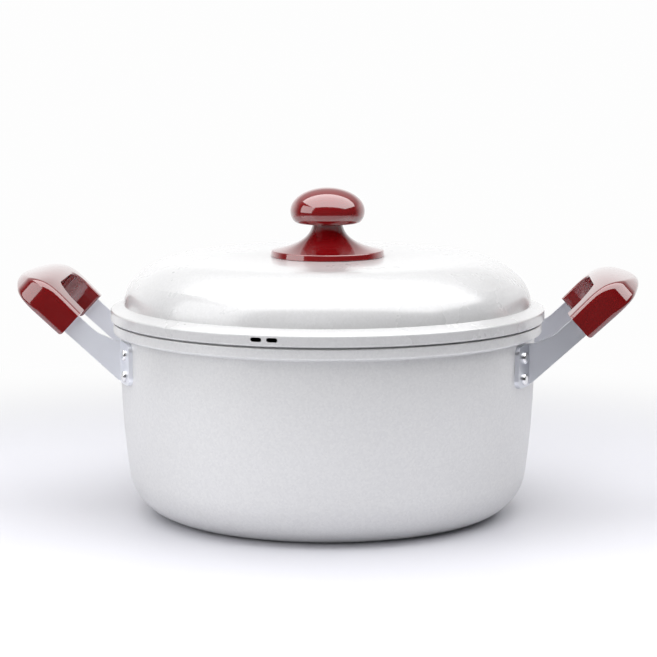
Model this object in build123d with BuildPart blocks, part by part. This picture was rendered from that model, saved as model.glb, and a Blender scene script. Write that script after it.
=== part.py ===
from build123d import *
from math import atan2, cos, radians, sin, sqrt
import os

# Two-handled casserole with a domed lid. Millimetres, +Z up, handles along X.
# Origin: centre of the flat base, on the surface the casserole stands on.

# --- sheet metal -------------------------------------------------------------
pot_wall = 2.4
lid_wall = 1.2

# --- casserole body (outer surface) ------------------------------------------
base_r = 87.5
corner_r = 27.5
wall_lean = 0.135              # lean of the wall where the base corner ends, rad
wall_top_r, wall_top_z = 119.4, 103.4
rim_r = 123.5
rim_low_z, rim_top_z = 105.3, 111.3
rim_wall = 2.5
ledge_z = 107.7                # step inside the rim

# --- lid (outer surface) -----------------------------------------------------
crown_z = 148.0
crown_flat_r = 81.5
shoulder_r, shoulder_turn = 41.4, 0.799
haunch_r, haunch_turn = 21.8, 0.724
skirt_r = 125.0
skirt_low_z, skirt_top_z = 112.4, 118.7
lip_r, lip_low_z = 120.6, 108.5   # locating lip, rests just above the step in the rim
vent_w, vent_h, vent_z = 6.2, 2.4, 116.1
vent_angles = (-105.0, -100.95)   # degrees about Z

# --- knob --------------------------------------------------------------------
knob_foot_r, knob_foot_top_r, knob_foot_h = 32.9, 32.4, 3.5
neck_r, cap_low_z = 8.5, 167.2
tenon_r, tenon_h = 5.6, 3.0
cap_r, cap_mid_z, cap_top_z = 21.5, 174.1, 187.6
cap_edge_r = 4.5
knob_screw_r, knob_hole_r = 2.0, 2.2
knob_screw_top_z = 180.0
knob_insert_r, knob_insert_top_z = 3.6, 181.5
knob_head_r, knob_head_h = 4.2, 2.4
washer_r, washer_t = 7.0, 1.0

# --- side handles ------------------------------------------------------------
strap_t = 2.0
arm_y = 38.0                   # middle of each strap arm
arm_root_x = 114.0             # inside the flange, where an arm starts
flange_low_z, flange_top_z = 79.5, 103.3
flange_out_y = 54.0
flange_corner_r = 4.5
rivet_y, rivet_zs = 45.8, (84.2, 96.2)
rivet_r, rivet_head_r, rivet_head_h = 1.8, 3.3, 1.7
rivet_inner_r, rivet_inner_h = 4.2, 1.0

slope = radians(42.5)          # rise of the grips above horizontal
grip_x, grip_z = 148.7, 106.7  # lower corner of each grip's open end
strap_low, strap_high = 2.2, 14.4   # strap edges above the grip's underside
grip_half_w = 46.0
nose_len, nose_end_r, nose_corner_r = 41.5, 110.0, 17.0   # seen square to the slope
finger_half_w, finger_len, finger_corner_r = 32.0, 21.0, 13.0
grip_edge_r, gap_edge_r = 2.5, 1.2
grip_brow_r = 4.0              # edge between the grip's top and its sides
grip_block_h = 30.0            # moulding blank, cut down to the crowned top
grip_side = (
    (0.0, 19.1), (10.0, 19.6), (19.4, 19.8), (26.0, 18.7), (32.0, 15.4),
    (36.8, 10.6), (40.1, 6.1), (43.7, -1.0),
)   # upper outline of the grip: (up the slope, above the underside)
crown_r, crown_half_turn = 420.0, 8.0   # crown of the grip's top, side to side
bar_s = 25.0                   # cross bar of the strap, from the open end
tab_len, tab_half_w = 10.0, 6.0
grip_screw_s = bar_s + strap_t + tab_len / 2
grip_screw_r, grip_head_r, grip_head_h = 1.6, 3.2, 1.7
grip_insert_r, grip_insert_h = 2.9, 6.5

slope_plane = Plane(
    origin=(grip_x, 0, grip_z),
    x_dir=(cos(slope), 0, sin(slope)),
    z_dir=(-sin(slope), 0, cos(slope)),
)


def on_slope(s, n):
    """World (x, z) of a point s up the slope and n above the grip's underside."""
    return (
        grip_x + s * cos(slope) - n * sin(slope),
        grip_z + s * sin(slope) + n * cos(slope),
    )


def wall_start(inset):
    """Where the base corner meets the wall, for a surface inset from the outside."""
    r = corner_r - inset
    return (base_r + r * cos(wall_lean), corner_r - r * sin(wall_lean))


def wall_arc(inset):
    """Bowed side wall, base corner to rim."""
    return TangentArc(
        wall_start(inset),
        (wall_top_r - inset, wall_top_z),
        tangent=(sin(wall_lean), cos(wall_lean)),
    )


def corner_arc(inset):
    """Rounded base corner."""
    r = corner_r - inset
    half = (radians(90) - wall_lean) / 2
    middle = (base_r + r * sin(half), corner_r - r * cos(half))
    return ThreePointArc((base_r, inset), middle, wall_start(inset))


def shoulder_end(inset):
    r = shoulder_r - inset
    return (
        crown_flat_r + r * sin(shoulder_turn),
        crown_z - shoulder_r + r * cos(shoulder_turn),
    )


def haunch_point(inset, turn):
    """Point on the tight lower arc of the dome, at an angle from vertical."""
    cx = crown_flat_r + (shoulder_r - haunch_r) * sin(shoulder_turn)
    cz = crown_z - shoulder_r + (shoulder_r - haunch_r) * cos(shoulder_turn)
    r = haunch_r - inset
    return (cx + r * sin(turn), cz + r * cos(turn))


def dome_lines(inset):
    """Crown, shoulder and haunch of the lid, from the axis outwards."""
    r = shoulder_r - inset
    Line((0, crown_z - inset), (crown_flat_r, crown_z - inset))
    mid = shoulder_turn / 2
    ThreePointArc(
        (crown_flat_r, crown_z - inset),
        (crown_flat_r + r * sin(mid), crown_z - shoulder_r + r * cos(mid)),
        shoulder_end(inset),
    )
    ThreePointArc(
        shoulder_end(inset),
        haunch_point(inset, shoulder_turn + haunch_turn / 2),
        haunch_point(inset, shoulder_turn + haunch_turn),
    )


def cylinder_on(plane, radius, low, high, mode=Mode.ADD):
    """Cylinder about the plane's normal, between two heights above it."""
    with Locations(plane.offset(low).location):
        Cylinder(
            radius,
            high - low,
            align=(Align.CENTER, Align.CENTER, Align.MIN),
            mode=mode,
        )


def rivet_plane(end, side, z):
    """Plane on the pot wall at a rivet, normal pointing straight out of the wall.

    end is +1 for the right handle and -1 for the left, side is +1 for rear."""
    x = end * sqrt(wall_top_r**2 - rivet_y**2)
    return Plane(
        origin=(x, side * rivet_y, z),
        x_dir=(0, 0, 1),
        z_dir=(x, side * rivet_y, 0),
    )


rivet_places = [
    (end, side, z) for end in (-1, 1) for side in (-1, 1) for z in rivet_zs
]


def nearest(points, x, y):
    """The vertex of a sketch closest to (x, y)."""
    return points.sort_by_distance((x, y, 0))[0]


# === casserole body ==========================================================
with BuildPart() as pot_body:
    with BuildSketch(Plane.XZ) as pot_profile:
        with BuildLine():
            Line((0, 0), (base_r, 0))
            corner_arc(0)
            wall_arc(0)
            Polyline(
                (wall_top_r, wall_top_z),
                (wall_top_r, rim_low_z - 0.6),
                (rim_r, rim_low_z),
                (rim_r, rim_top_z),
                (rim_r - rim_wall, rim_top_z),
                (rim_r - rim_wall, ledge_z + 0.5),
                (wall_top_r - pot_wall, ledge_z - 0.6),
                (wall_top_r - pot_wall, wall_top_z),
            )
            wall_arc(pot_wall)
            corner_arc(pot_wall)
            Polyline((base_r, pot_wall), (0, pot_wall), (0, 0))
        make_face()
        for r, z, radius in (
            (rim_r, rim_low_z, 1.5),
            (rim_r, rim_top_z, 0.5),
            (rim_r - rim_wall, rim_top_z, 0.8),
            (rim_r - rim_wall, ledge_z + 0.5, 0.6),
            (wall_top_r - pot_wall, ledge_z - 0.6, 0.6),
            (wall_top_r, rim_low_z - 0.6, 0.6),
        ):
            fillet(nearest(pot_profile.vertices(), r, z), radius)
    revolve(axis=Axis.Z)
    for place in rivet_places:
        cylinder_on(rivet_plane(*place), rivet_r, -8, 8, mode=Mode.SUBTRACT)

# === lid =====================================================================
with BuildPart() as lid_shell:
    with BuildSketch(Plane.XZ) as lid_profile:
        crease_out = haunch_point(0, shoulder_turn + haunch_turn)
        crease_in = haunch_point(lid_wall, shoulder_turn + haunch_turn)
        flange_drop = lid_wall * 1.1
        with BuildLine():
            dome_lines(0)
            Polyline(
                crease_out,
                (skirt_r, skirt_top_z),
                (skirt_r, skirt_low_z),
                (lip_r, skirt_low_z),
                (lip_r, lip_low_z),
                (lip_r - lid_wall, lip_low_z),
                (lip_r - lid_wall, skirt_low_z + lid_wall),
                (skirt_r - lid_wall, skirt_low_z + lid_wall),
                (skirt_r - lid_wall, skirt_top_z - flange_drop + 0.5),
                (crease_in[0], crease_in[1] - flange_drop),
                crease_in,
            )
            dome_lines(lid_wall)
            Line((0, crown_z - lid_wall), (0, crown_z))
        make_face()
        for r, z, radius in (
            (skirt_r, skirt_top_z, 1.3),
            (skirt_r, skirt_low_z, 1.1),
            (lip_r, lip_low_z, 0.4),
            (*crease_out, 0.5),
        ):
            fillet(nearest(lid_profile.vertices(), r, z), radius)
    revolve(axis=Axis.Z)
    with Locations((0, 0, crown_z - 2 * lid_wall)):
        Cylinder(knob_hole_r, 4 * lid_wall, mode=Mode.SUBTRACT)
    for angle in vent_angles:
        vent_plane = Plane(
            origin=(
                skirt_r * cos(radians(angle)),
                skirt_r * sin(radians(angle)),
                vent_z,
            ),
            x_dir=(-sin(radians(angle)), cos(radians(angle)), 0),
            z_dir=(cos(radians(angle)), sin(radians(angle)), 0),
        )
        with BuildSketch(vent_plane):
            SlotOverall(vent_w, vent_h)
        extrude(amount=2, both=True, mode=Mode.SUBTRACT)

# === knob ====================================================================
with BuildPart() as knob_base:
    with BuildSketch(Plane.XZ) as knob_base_profile:
        foot_top_z = crown_z + knob_foot_h
        with BuildLine():
            Polyline(
                (knob_hole_r, cap_low_z + tenon_h),
                (knob_hole_r, crown_z),
                (knob_foot_r, crown_z),
                (knob_foot_top_r, foot_top_z),
            )
            Bezier(
                (knob_foot_top_r, foot_top_z),
                (19.5, foot_top_z + 2.7),
                (neck_r + 1.4, foot_top_z + 6.1),
                (neck_r, cap_low_z),
            )
            Polyline(
                (neck_r, cap_low_z),
                (tenon_r, cap_low_z),
                (tenon_r, cap_low_z + tenon_h),
                (knob_hole_r, cap_low_z + tenon_h),
            )
        make_face()
        for r, z, radius in (
            (knob_foot_r, crown_z, 0.4),
            (knob_foot_top_r, foot_top_z, 0.7),
        ):
            fillet(nearest(knob_base_profile.vertices(), r, z), radius)
    revolve(axis=Axis.Z)

with BuildPart() as knob_cap:
    with BuildSketch(Plane.XZ):
        with BuildLine():
            edge_x = cap_r - cap_edge_r
            round_arm = 0.5523
            Bezier(
                (edge_x, cap_low_z),
                (edge_x + round_arm * cap_edge_r, cap_low_z),
                (cap_r, cap_mid_z - round_arm * (cap_mid_z - cap_low_z)),
                (cap_r, cap_mid_z),
            )
            Bezier(
                (cap_r, cap_mid_z),
                (cap_r, cap_mid_z + round_arm * (cap_top_z - cap_mid_z)),
                (round_arm * cap_r, cap_top_z),
                (0, cap_top_z),
            )
            Polyline(
                (cap_r - cap_edge_r, cap_low_z),
                (tenon_r, cap_low_z),
                (tenon_r, cap_low_z + tenon_h),
                (knob_insert_r, cap_low_z + tenon_h),
                (knob_insert_r, knob_insert_top_z),
                (0, knob_insert_top_z),
                (0, cap_top_z),
            )
        make_face()
    revolve(axis=Axis.Z)

with BuildPart() as knob_insert:
    cylinder_on(Plane.XY, knob_insert_r, cap_low_z + tenon_h, knob_insert_top_z)
    with Locations((0, 0, cap_low_z + tenon_h)):
        Cylinder(
            knob_screw_r,
            knob_screw_top_z - cap_low_z - tenon_h,
            align=(Align.CENTER, Align.CENTER, Align.MIN),
            mode=Mode.SUBTRACT,
        )

lid_inside_z = crown_z - lid_wall
with BuildPart() as knob_washer:
    cylinder_on(Plane.XY, washer_r, lid_inside_z - washer_t, lid_inside_z)
    chamfer(knob_washer.edges().group_by(Axis.Z)[0], 0.2)
    with Locations((0, 0, lid_inside_z)):
        Cylinder(knob_hole_r, 4 * washer_t, mode=Mode.SUBTRACT)

with BuildPart() as knob_screw:
    head_top_z = lid_inside_z - washer_t
    cylinder_on(Plane.XY, knob_screw_r, head_top_z, knob_screw_top_z)
    cylinder_on(Plane.XY, knob_head_r, head_top_z - knob_head_h, head_top_z)
    fillet(knob_screw.edges().group_by(Axis.Z)[0], 1.2)
    with BuildSketch(Plane.XY.offset(head_top_z - knob_head_h)):
        Rectangle(4.4, 1.0)
        Rectangle(1.0, 4.4)
    extrude(amount=1.5, mode=Mode.SUBTRACT)

# === right handle ============================================================
with BuildPart() as right_bracket:
    # flanges that lie on the wall
    with BuildSketch(Plane.XZ):
        with BuildLine():
            wall_arc(0)
            wall_arc(-strap_t)
            Line(wall_start(0), wall_start(-strap_t))
            Line((wall_top_r, wall_top_z), (wall_top_r + strap_t, wall_top_z))
        make_face()
    revolve(axis=Axis.Z)
    with BuildSketch(Plane.YZ) as flange_outline:
        for side in (-1, 1):
            with Locations(
                (
                    side * (arm_y - strap_t / 2 + flange_out_y) / 2,
                    (flange_low_z + flange_top_z) / 2,
                )
            ):
                Rectangle(
                    flange_out_y - arm_y + strap_t / 2, flange_top_z - flange_low_z
                )
        outer = flange_outline.vertices().group_by(lambda v: abs(v.X))[-1]
        fillet(outer, flange_corner_r)
    extrude(amount=skirt_r, mode=Mode.INTERSECT)
    # arms rising into the grip
    for side in (-1, 1):
        with BuildSketch(Plane.XZ.offset(side * arm_y)) as arm_outline:
            with BuildLine():
                top = on_slope(bar_s + strap_t, strap_high)
                low = on_slope(bar_s + strap_t, strap_low)
                bend = on_slope(-11.0, strap_high)
                Polyline(bend, top, low, (117.0, 81.3), (arm_root_x, flange_low_z + 0.4))
                Line((arm_root_x, flange_low_z + 0.4), (arm_root_x, flange_top_z - 0.1))
                Spline(
                    (arm_root_x, flange_top_z - 0.1),
                    (118.0, flange_top_z + 0.2),
                    (124.0, 105.9),
                    bend,
                    tangents=((1.0, 0.0), (cos(slope), sin(slope))),
                )
            make_face()
        extrude(amount=strap_t / 2, both=True)
    # cross bar and its screw tab, inside the grip
    with BuildSketch(slope_plane.offset(strap_low)):
        with Locations((bar_s + strap_t / 2, 0)):
            Rectangle(strap_t, 2 * arm_y + strap_t)
    extrude(amount=strap_high - strap_low)
    with BuildSketch(slope_plane.offset(strap_low)):
        with Locations((bar_s + strap_t + tab_len / 2 - 0.5, 0)):
            Rectangle(tab_len + 1.0, 2 * tab_half_w)
        with Locations((grip_screw_s, 0)):
            Circle(grip_screw_r, mode=Mode.SUBTRACT)
    extrude(amount=strap_t)
    for place in rivet_places:
        cylinder_on(rivet_plane(*place), rivet_r, -8, 8, mode=Mode.SUBTRACT)
    for y, radius in ((arm_y - strap_t / 2, 2.0), (arm_y + strap_t / 2, 1.2)):
        bends = right_bracket.edges().filter_by(
            lambda e: e.length > 15
            and e.center().X < 118
            and abs(abs(e.center().Y) - y) < 0.05
        )
        fillet(bends, radius)

# grip: a horseshoe moulding over the strap
up_slope = Vector(cos(slope), 0, sin(slope))
off_slope = Vector(-sin(slope), 0, cos(slope))
crown_axis = Axis(slope_plane.origin - off_slope * crown_r, up_slope)
tilted = (
    off_slope * cos(radians(crown_half_turn))
    + Vector(0, 1, 0) * sin(radians(crown_half_turn))
)
crown_plane = Plane(
    origin=crown_axis.position, x_dir=up_slope, z_dir=up_slope.cross(tilted)
)


def facing(part, direction):
    """Flat faces of a part that look along a direction."""
    return part.faces().filter_by(
        lambda f: f.geom_type == GeomType.PLANE and f.normal_at().dot(direction) > 0.999
    )


def height_of(shape):
    """Height of a shape's centre above the grip's underside."""
    return (shape.center() - slope_plane.origin).dot(off_slope)


def slope_reach(shape):
    """Distance of a shape's centre up the slope from the grip's open end."""
    return (shape.center() - slope_plane.origin).dot(up_slope)


with BuildPart() as right_grip:
    with BuildSketch(slope_plane):
        corner_y = grip_half_w - nose_corner_r
        end_x = nose_len - nose_end_r          # centre of the bowed end
        corner_x = end_x + sqrt((nose_end_r - nose_corner_r) ** 2 - corner_y**2)
        reach = nose_end_r / (nose_end_r - nose_corner_r)
        join = (end_x + (corner_x - end_x) * reach, corner_y * reach)
        turn = (radians(90) + atan2(join[1] - corner_y, join[0] - corner_x)) / 2
        bulge = (
            corner_x + nose_corner_r * cos(turn),
            corner_y + nose_corner_r * sin(turn),
        )
        with BuildLine():
            Polyline(
                (corner_x, -grip_half_w),
                (0, -grip_half_w),
                (0, grip_half_w),
                (corner_x, grip_half_w),
            )
            for side in (-1, 1):
                ThreePointArc(
                    (corner_x, side * grip_half_w),
                    (bulge[0], side * bulge[1]),
                    (join[0], side * join[1]),
                )
            ThreePointArc(join, (nose_len, 0), (join[0], -join[1]))
        make_face()
    extrude(amount=grip_block_h)
    fillet(facing(right_grip, -off_slope).edges(), grip_edge_r)
    with BuildSketch(crown_plane):
        with BuildLine():
            heights = [(s, crown_r + n) for s, n in grip_side]
            Spline(*heights, tangents=((1.0, 0.06), (0.25, -1.0)))
            Polyline(
                heights[-1],
                (heights[-1][0], crown_r - 20),
                (-1, crown_r - 20),
                (-1, heights[0][1]),
                heights[0],
            )
        make_face()
    revolve(axis=crown_axis, revolution_arc=2 * crown_half_turn, mode=Mode.INTERSECT)
    crown = right_grip.faces().sort_by(height_of)[-1]
    brow = crown.edges().filter_by(lambda e: slope_reach(e) > 1)
    fillet(brow, grip_brow_r)
    with BuildSketch(slope_plane.offset(-2)) as finger_gap:
        with Locations((finger_len / 2 - 5, 0)):
            Rectangle(finger_len + 10, 2 * finger_half_w)
        fillet(finger_gap.vertices().group_by(Axis.X)[-1], finger_corner_r)
    extrude(amount=grip_block_h, mode=Mode.SUBTRACT)
    fillet(
        right_grip.edges().filter_by(
            lambda e: abs(e.center().Y) < finger_half_w + 0.01
            and e.center().X < 170
            and (abs(height_of(e)) < 0.01 or height_of(e) > 14)
        ),
        gap_edge_r,
    )
    # groove, screw recess and insert pocket, open underneath
    for side in (-1, 1):
        with BuildSketch(slope_plane.offset(-1)):
            with Locations(((bar_s + strap_t) / 2 - 1, side * arm_y)):
                Rectangle(bar_s + strap_t + 2, strap_t)
        extrude(amount=strap_high + 1, mode=Mode.SUBTRACT)
    with BuildSketch(slope_plane.offset(-1)):
        with Locations((bar_s + strap_t / 2, 0)):
            Rectangle(strap_t, 2 * arm_y + strap_t)
    extrude(amount=strap_high + 1, mode=Mode.SUBTRACT)
    with BuildSketch(slope_plane.offset(-1)):
        with Locations((bar_s + strap_t + tab_len / 2, 0)):
            Rectangle(tab_len, 2 * tab_half_w)
    extrude(amount=strap_low + strap_t + 1, mode=Mode.SUBTRACT)
    with BuildSketch(slope_plane.offset(strap_low + strap_t)):
        with Locations((grip_screw_s, 0)):
            Circle(grip_insert_r)
    extrude(amount=grip_insert_h, mode=Mode.SUBTRACT)

with BuildPart() as right_grip_insert:
    with BuildSketch(slope_plane.offset(strap_low + strap_t)):
        with Locations((grip_screw_s, 0)):
            Circle(grip_insert_r)
            Circle(grip_screw_r, mode=Mode.SUBTRACT)
    extrude(amount=grip_insert_h)

with BuildPart() as right_grip_screw:
    with BuildSketch(slope_plane.offset(strap_low)):
        with Locations((grip_screw_s, 0)):
            Circle(grip_screw_r)
    extrude(amount=strap_t + grip_insert_h - 0.5)
    with BuildSketch(slope_plane.offset(strap_low - grip_head_h)):
        with Locations((grip_screw_s, 0)):
            Circle(grip_head_r)
    extrude(amount=grip_head_h)
    fillet(facing(right_grip_screw, -off_slope).edges(), 0.7)
    with BuildSketch(slope_plane.offset(strap_low - grip_head_h)):
        with Locations((grip_screw_s, 0)):
            Rectangle(3.6, 0.8)
            Rectangle(0.8, 3.6)
    extrude(amount=1.0, mode=Mode.SUBTRACT)


def make_rivets(side):
    """Two rivets through one flange: inner head, shank, domed outer head."""
    with BuildPart() as rivets:
        for z in rivet_zs:
            plane = rivet_plane(1, side, z)
            cylinder_on(plane, rivet_r, -pot_wall - 2, strap_t + 1)
            cylinder_on(plane, rivet_inner_r, -pot_wall - rivet_inner_h - 0.9, -1.5)
            with BuildPart(mode=Mode.PRIVATE) as head:
                cylinder_on(plane, rivet_head_r, 1.0, strap_t + rivet_head_h)
                rim = facing(head, plane.z_dir).edges()
                fillet(rim, rivet_head_h * 0.8)
            add(head.part)
        add(pot_body.part, mode=Mode.SUBTRACT)
        add(right_bracket.part, mode=Mode.SUBTRACT)
    return rivets

right_front_rivets = make_rivets(-1)
right_rear_rivets = make_rivets(1)

# === left handle: the same pieces, turned half round ==========================
pieces = {
    "pot_body": pot_body,
    "lid_shell": lid_shell,
    "knob_base": knob_base,
    "knob_cap": knob_cap,
    "knob_insert": knob_insert,
    "knob_washer": knob_washer,
    "knob_screw": knob_screw,
}
for name, right, left in (
    ("bracket", right_bracket, "left_bracket"),
    ("grip", right_grip, "left_grip"),
    ("grip_insert", right_grip_insert, "left_grip_insert"),
    ("grip_screw", right_grip_screw, "left_grip_screw"),
    ("front_rivets", right_front_rivets, "left_rear_rivets"),
    ("rear_rivets", right_rear_rivets, "left_front_rivets"),
):
    with BuildPart() as turned:
        add(right.part.rotate(Axis.Z, 180))
    pieces["right_" + name] = right
    pieces[left] = turned

os.makedirs("parts", exist_ok=True)
for name, piece in pieces.items():
    piece.part.label = name
    export_step(piece.part, f"parts/{name}.step")
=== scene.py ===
import math

import bmesh
import bpy
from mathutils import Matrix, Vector

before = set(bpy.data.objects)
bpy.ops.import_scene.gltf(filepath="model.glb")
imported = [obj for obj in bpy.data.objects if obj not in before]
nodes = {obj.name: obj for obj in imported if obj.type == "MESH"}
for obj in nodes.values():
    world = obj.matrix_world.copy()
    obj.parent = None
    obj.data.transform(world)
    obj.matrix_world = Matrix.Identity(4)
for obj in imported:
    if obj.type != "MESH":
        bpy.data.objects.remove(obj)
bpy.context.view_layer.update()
MM = 0.001

# === finishes ================================================================
FLAKE_SHARE = 0.12             # height of the flakes beside the orange peel
BRUSH_STRETCH = (0.02, 1, 1)   # brush lines run long along their first direction
STRAP_TILT = 42.5              # degrees that the strap arms rise


def add(tree, kind, **values):
    """Adds a node; a value goes to the input of that name, or else to the setting."""
    node = tree.nodes.new("ShaderNode" + kind)
    for key, value in values.items():
        socket = node.inputs.get(key.replace("_", " "))
        if socket is None:
            setattr(node, key, value)
        else:
            socket.default_value = value
    return node


def effect(name, wants, gives):
    """Empty shared effect with its named inputs and outputs."""
    tree = bpy.data.node_groups.new(name, "ShaderNodeTree")
    for title, kind, value in wants:
        socket = tree.interface.new_socket(
            title, in_out="INPUT", socket_type="NodeSocket" + kind
        )
        if value is not None:
            socket.default_value = value
    for title, kind in gives:
        tree.interface.new_socket(title, in_out="OUTPUT", socket_type="NodeSocket" + kind)
    given = tree.nodes.new("NodeGroupInput").outputs
    result = tree.nodes.new("NodeGroupOutput").inputs
    return tree, given, result


def enamel_flake():
    """Fine pearl flake and orange peel: a brightness mask and a height."""
    tree, given, result = effect(
        "enamel flake",
        [
            ("Place", "Vector", None), ("Flake size", "Float", 900.0),
            ("Peel size", "Float", 160.0),
        ],
        [("Flake", "Float"), ("Height", "Float")],
    )
    flake = add(tree, "TexVoronoi")
    peel = add(tree, "TexNoise", Detail=2.0, Roughness=0.5)
    join = add(tree, "Math", operation="MULTIPLY_ADD")
    join.inputs[1].default_value = FLAKE_SHARE
    link = tree.links.new
    link(given["Place"], flake.inputs["Vector"])
    link(given["Flake size"], flake.inputs["Scale"])
    link(given["Place"], peel.inputs["Vector"])
    link(given["Peel size"], peel.inputs["Scale"])
    link(flake.outputs["Color"], result["Flake"])
    link(flake.outputs["Distance"], join.inputs[0])
    link(peel.outputs["Fac"], join.inputs[2])
    link(join.outputs[0], result["Height"])
    return tree


def handling():
    """Soft patches where hands and cloths have rubbed: a roughness between two ends."""
    tree, given, result = effect(
        "handling marks",
        [
            ("Place", "Vector", None), ("Patch size", "Float", 14.0),
            ("Polished", "Float", 0.2), ("Dull", "Float", 0.35),
        ],
        [("Roughness", "Float"), ("Mask", "Float")],
    )
    patch = add(tree, "TexNoise", Detail=5.0, Roughness=0.62)
    span = add(tree, "MapRange", From_Min=0.35, From_Max=0.68)
    link = tree.links.new
    link(given["Place"], patch.inputs["Vector"])
    link(given["Patch size"], patch.inputs["Scale"])
    link(patch.outputs["Fac"], span.inputs["Value"])
    link(given["Polished"], span.inputs["To Min"])
    link(given["Dull"], span.inputs["To Max"])
    link(span.outputs["Result"], result["Roughness"])
    link(patch.outputs["Fac"], result["Mask"])
    return tree


def brush_lines():
    """Fine lines drawn along one direction: a height and a mask."""
    tree, given, result = effect(
        "brush lines",
        [("Place", "Vector", None), ("Lines", "Float", 1800.0)],
        [("Height", "Float"), ("Mask", "Float")],
    )
    lines = add(tree, "TexNoise", Detail=3.0, Roughness=0.7)
    stretch = add(tree, "Mapping", Scale=BRUSH_STRETCH)
    broad = add(tree, "TexNoise", Scale=60.0, Detail=2.0)
    link = tree.links.new
    link(given["Place"], stretch.inputs["Vector"])
    link(stretch.outputs[0], lines.inputs["Vector"])
    link(given["Lines"], lines.inputs["Scale"])
    link(given["Place"], broad.inputs["Vector"])
    link(lines.outputs["Fac"], result["Height"])
    link(broad.outputs["Fac"], result["Mask"])
    return tree


def finish(name, **values):
    """Material with its shader's constants set, and its parts for wiring."""
    material = bpy.data.materials.new(name)
    material.use_nodes = True
    tree = material.node_tree
    shader = tree.nodes["Principled BSDF"]
    for key, value in values.items():
        shader.inputs[key.replace("_", " ")].default_value = value
    place = add(tree, "TexCoord").outputs["Object"]
    return material, tree, shader, place


def use(tree, group, place, **values):
    """Places a shared effect in a material with its own values."""
    node = tree.nodes.new("ShaderNodeGroup")
    node.node_tree = group
    tree.links.new(place, node.inputs["Place"])
    for key, value in values.items():
        node.inputs[key.replace("_", " ")].default_value = value
    return node.outputs


def tint(tree, mask, dark, light, shader):
    """Base colour between two tones, by a mask."""
    mix = add(tree, "Mix", data_type="RGBA")
    ends = [socket for socket in mix.inputs if socket.type == "RGBA"]
    for socket, painted_light_tone in zip(ends, (dark, light)):
        socket.default_value = (*painted_light_tone, 1)
    colour = next(s for s in mix.outputs if s.type == "RGBA")
    tree.links.new(mask, mix.inputs["Factor"])
    tree.links.new(colour, shader.inputs["Base Color"])


def raise_by(tree, height, shader, depth, strength):
    """Small relief from a height, its depth in millimetres."""
    bump = add(tree, "Bump", Distance=depth * MM, Strength=strength)
    tree.links.new(height, bump.inputs["Height"])
    tree.links.new(bump.outputs[0], shader.inputs["Normal"])


flake_effect, handling_effect, brush_effect = enamel_flake(), handling(), brush_lines()


def pearl_enamel(name, dark, light, polished, dull, **values):
    """Sprayed pearl coating: fine flake, faint orange peel, softly worn gloss."""
    material, tree, shader, place = finish(name, **values)
    flake = use(tree, flake_effect, place)
    marks = use(tree, handling_effect, place, Polished=polished, Dull=dull)
    tint(tree, flake["Flake"], dark, light, shader)
    tree.links.new(marks["Roughness"], shader.inputs["Roughness"])
    raise_by(tree, flake["Height"], shader, 0.004, 0.3)
    return material


def red_resin(name, dark, light, polished, dull, **values):
    """Glossy moulded resin with a clear skin."""
    material, tree, shader, place = finish(name, **values)
    marks = use(tree, handling_effect, place, Patch_size=40.0, Polished=polished, Dull=dull)
    peel = use(tree, flake_effect, place, Peel_size=220.0)
    tint(tree, marks["Mask"], dark, light, shader)
    tree.links.new(marks["Roughness"], shader.inputs["Roughness"])
    raise_by(tree, peel["Height"], shader, 0.01, 0.25)
    return material


def bare_metal(name, dark, light, polished, dull, lines, tilt=0.0, metallic=1.0):
    """Metal with brush lines, turned by a tilt in degrees to run along the piece."""
    material, tree, shader, place = finish(name, Metallic=metallic)
    lay = add(tree, "Mapping", Rotation=(0, math.radians(tilt), 0))
    tree.links.new(place, lay.inputs["Vector"])
    brushed = use(tree, brush_effect, lay.outputs[0], Lines=lines)
    marks = use(tree, handling_effect, place, Patch_size=60.0, Polished=polished, Dull=dull)
    tint(tree, brushed["Mask"], dark, light, shader)
    tree.links.new(marks["Roughness"], shader.inputs["Roughness"])
    raise_by(tree, brushed["Height"], shader, 0.01, 0.35)
    return material


def dress(piece, material):
    """Gives a piece its one material."""
    mesh = piece.data
    mesh.materials.clear()
    mesh.materials.append(material)


pot_enamel = pearl_enamel(
    "pot pearl enamel", (0.67, 0.67, 0.675), (0.73, 0.73, 0.73), 0.30, 0.42,
    Metallic=0.3, Coat_Weight=0.2, Coat_Roughness=0.18,
)
# Painted shade: the lid has the pot's pearl enamel made darker, holding back the strong
# overhead light on its top.
lid_enamel_painted_shade = pearl_enamel(
    "lid pearl enamel", (0.56, 0.56, 0.565), (0.61, 0.61, 0.615), 0.24, 0.34,
    Metallic=0.12, Coat_Weight=0.5, Coat_Roughness=0.08,
)
grip_red = red_resin(
    "grip red resin", (0.13, 0.0015, 0.002), (0.18, 0.002, 0.003), 0.10, 0.2,
    Coat_Weight=1.0, Coat_Roughness=0.03, Coat_IOR=1.9,
)
knob_red = red_resin(
    "knob red resin", (0.15, 0.002, 0.003), (0.20, 0.003, 0.005), 0.10, 0.18,
    Coat_Weight=1.0, Coat_Roughness=0.02, Coat_IOR=1.9,
)
# One aluminium made as lit and shaded copies: the left strap is painted lighter and less
# metallic as painted light from the left-front, the right strap darker as painted shade.
strap_metal_lit_and_shaded = {
    side: bare_metal(
        f"{side} strap aluminium", (painted_light_tone, painted_light_tone * 1.02, painted_light_tone * 1.08),
        (painted_light_tone * 1.06, painted_light_tone * 1.08, painted_light_tone * 1.14), 0.3, 0.4, 1500.0, tilt, metallic,
    )
    for side, tilt, painted_light_tone, metallic in (
        ("right", STRAP_TILT, 0.68, 1.0), ("left", -STRAP_TILT, 0.83, 0.7),
    )
}
rivet_metal = bare_metal(
    "rivet aluminium", (0.78, 0.78, 0.79), (0.9, 0.9, 0.91), 0.16, 0.3, 600.0
)
brass = bare_metal("insert brass", (0.62, 0.40, 0.12), (0.78, 0.55, 0.22), 0.2, 0.4, 900.0)
steel = bare_metal("screw steel", (0.50, 0.50, 0.51), (0.64, 0.64, 0.66), 0.18, 0.34, 900.0)

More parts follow.
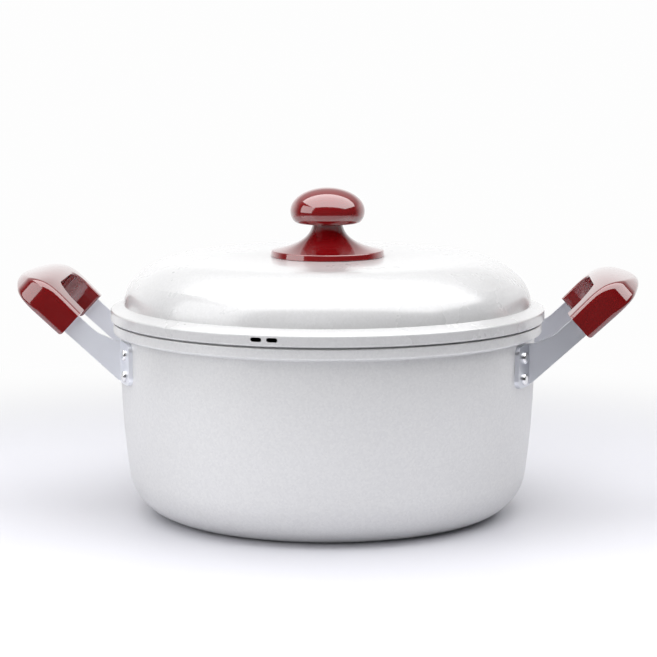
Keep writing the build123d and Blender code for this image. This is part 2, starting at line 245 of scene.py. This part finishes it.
for side in ("right", "left"):
    dress(nodes[f"{side}_bracket"], strap_metal_lit_and_shaded[side])
    dress(nodes[f"{side}_grip"], grip_red)
    dress(nodes[f"{side}_grip_insert"], brass)
    dress(nodes[f"{side}_grip_screw"], steel)
    dress(nodes[f"{side}_front_rivets"], rivet_metal)
    dress(nodes[f"{side}_rear_rivets"], rivet_metal)
for name, material in (
    ("pot_body", pot_enamel),
    ("lid_shell", lid_enamel_painted_shade),
    ("knob_base", knob_red),
    ("knob_cap", knob_red),
    ("knob_insert", brass),
    ("knob_washer", steel),
    ("knob_screw", steel),
):
    dress(nodes[name], material)


# === studio ==================================================================
FLOOR_R = 0.62                   # round table top, metres
FLOOR_TONES = (0.64, 0.64, 0.68), (0.66, 0.66, 0.70)
FADE_FROM, FADE_TO = 0.2, 0.95 * FLOOR_R
BACKDROP = 0.985                 # brightness of the white behind everything
LENS_MM, SENSOR_MM = 128.93, 36.0
CAMERA_AWAY, CAMERA_HEIGHT = 1.35, 0.2912   # from the pot's axis, above the table
TURN_ASIDE, LOOK_DOWN, AIM_OFFSET = math.radians(2.7), 0.1365, 0.0004
FAR_CLIP = 50


def floor():
    """Pale round table top; for the eye it fades into the white backdrop."""
    bm = bmesh.new()
    bmesh.ops.create_circle(bm, cap_ends=True, segments=96, radius=FLOOR_R)
    mesh = bpy.data.meshes.new("studio_floor")
    bm.to_mesh(mesh)
    bm.free()
    obj = bpy.data.objects.new("studio_floor", mesh)
    bpy.context.scene.collection.objects.link(obj)
    material, tree, shader, place = finish("floor sheet", Roughness=0.5)
    patches = add(tree, "TexNoise", Scale=1.2, Detail=2.0)
    away = add(tree, "VectorMath", operation="LENGTH")
    fade = add(tree, "MapRange", From_Min=FADE_FROM, From_Max=FADE_TO)
    fade.interpolation_type = "SMOOTHERSTEP"
    seen = add(tree, "Math", operation="MULTIPLY")
    glow = add(tree, "Emission", Color=(1, 1, 1, 1), Strength=BACKDROP)
    mix = add(tree, "MixShader")
    link = tree.links.new
    link(place, patches.inputs["Vector"])
    link(place, away.inputs[0])
    link(away.outputs["Value"], fade.inputs["Value"])
    link(fade.outputs["Result"], seen.inputs[0])
    link(add(tree, "LightPath").outputs["Is Camera Ray"], seen.inputs[1])
    link(seen.outputs[0], mix.inputs[0])
    link(shader.outputs[0], mix.inputs[1])
    link(glow.outputs[0], mix.inputs[2])
    link(mix.outputs[0], tree.nodes["Material Output"].inputs["Surface"])
    tint(tree, patches.outputs["Fac"], *FLOOR_TONES, shader)
    dress(obj, material)


def softbox(name, place, aim, size, power):
    """Rectangular lamp that the eye doesn't see, with its power in watts."""
    light = bpy.data.lights.new(name, "AREA")
    light.shape = "RECTANGLE"
    light.size, light.size_y = size
    light.energy = power
    obj = bpy.data.objects.new(name, light)
    bpy.context.scene.collection.objects.link(obj)
    obj.location = place
    obj.rotation_euler = (Vector(aim) - Vector(place)).to_track_quat("-Z", "Y").to_euler()
    obj.visible_camera = False
    return obj


def surroundings(seen, behind, before, overhead, left_share):
    """White backdrop for the eye. For the light it is bright low down behind the object,
    dimmer overhead and before it, and a little brighter on its left."""
    world = bpy.data.worlds.new("studio")
    bpy.context.scene.world = world
    world.use_nodes = True
    tree = world.node_tree
    tree.nodes.clear()
    link = tree.links.new
    way = add(tree, "SeparateXYZ")
    link(add(tree, "TexCoord").outputs["Generated"], way.inputs[0])
    depth = add(tree, "MapRange", From_Min=0.1, From_Max=0.7, To_Min=before, To_Max=behind)
    depth.interpolation_type = "SMOOTHSTEP"
    side = add(
        tree, "MapRange", From_Min=-1, From_Max=1, To_Min=1 + left_share, To_Max=1 - left_share
    )
    total = add(tree, "Math", operation="MULTIPLY")
    height = add(tree, "MapRange", From_Min=0.25, From_Max=0.5, To_Min=1, To_Max=overhead)
    height.interpolation_type = "SMOOTHSTEP"
    level = add(tree, "Math", operation="MULTIPLY")
    link(way.outputs["Y"], depth.inputs["Value"])
    link(way.outputs["Z"], height.inputs["Value"])
    link(way.outputs["X"], side.inputs["Value"])
    link(depth.outputs["Result"], level.inputs[0])
    link(height.outputs["Result"], level.inputs[1])
    link(level.outputs[0], total.inputs[0])
    link(side.outputs["Result"], total.inputs[1])
    out, mix = add(tree, "OutputWorld"), add(tree, "MixShader")
    white = add(tree, "Background", Color=(1, 1, 1, 1), Strength=seen)
    room = add(tree, "Background", Color=(1, 1, 1, 1))
    link(total.outputs[0], room.inputs["Strength"])
    link(room.outputs[0], mix.inputs[1])
    link(white.outputs[0], mix.inputs[2])
    link(add(tree, "LightPath").outputs["Is Camera Ray"], mix.inputs[0])
    link(mix.outputs[0], out.inputs["Surface"])


floor()
surroundings(BACKDROP, behind=1.0, before=0.06, overhead=0.5, left_share=0.1)
softbox("main_softbox", (0.27, -0.12, 0.8), (0.27, -0.12, 0), (1.86, 1.0), 16.5)
softbox("left_softbox", (-0.66, -0.28, 0.40), (0, 0, 0.1), (0.6, 0.53), 2.0)
fill = softbox("front_fill", (-0.2, -1.6, 0.8), (0, 0, 0.08), (1.0, 1.0), 11)
fill.visible_glossy = False      # evens the front without a highlight

# --- camera: a little to the right of the front, looking slightly down --------
camera_data = bpy.data.cameras.new("camera")
camera_data.lens, camera_data.sensor_width = LENS_MM, SENSOR_MM
camera_data.clip_end = FAR_CLIP
camera = bpy.data.objects.new("camera", camera_data)
bpy.context.scene.collection.objects.link(camera)
camera.location = (
    CAMERA_AWAY * math.sin(TURN_ASIDE), -CAMERA_AWAY * math.cos(TURN_ASIDE), CAMERA_HEIGHT
)
camera.rotation_euler = (math.pi / 2 - LOOK_DOWN, 0, TURN_ASIDE - AIM_OFFSET)
bpy.context.scene.camera = camera
bpy.context.scene.view_settings.view_transform = "Standard"
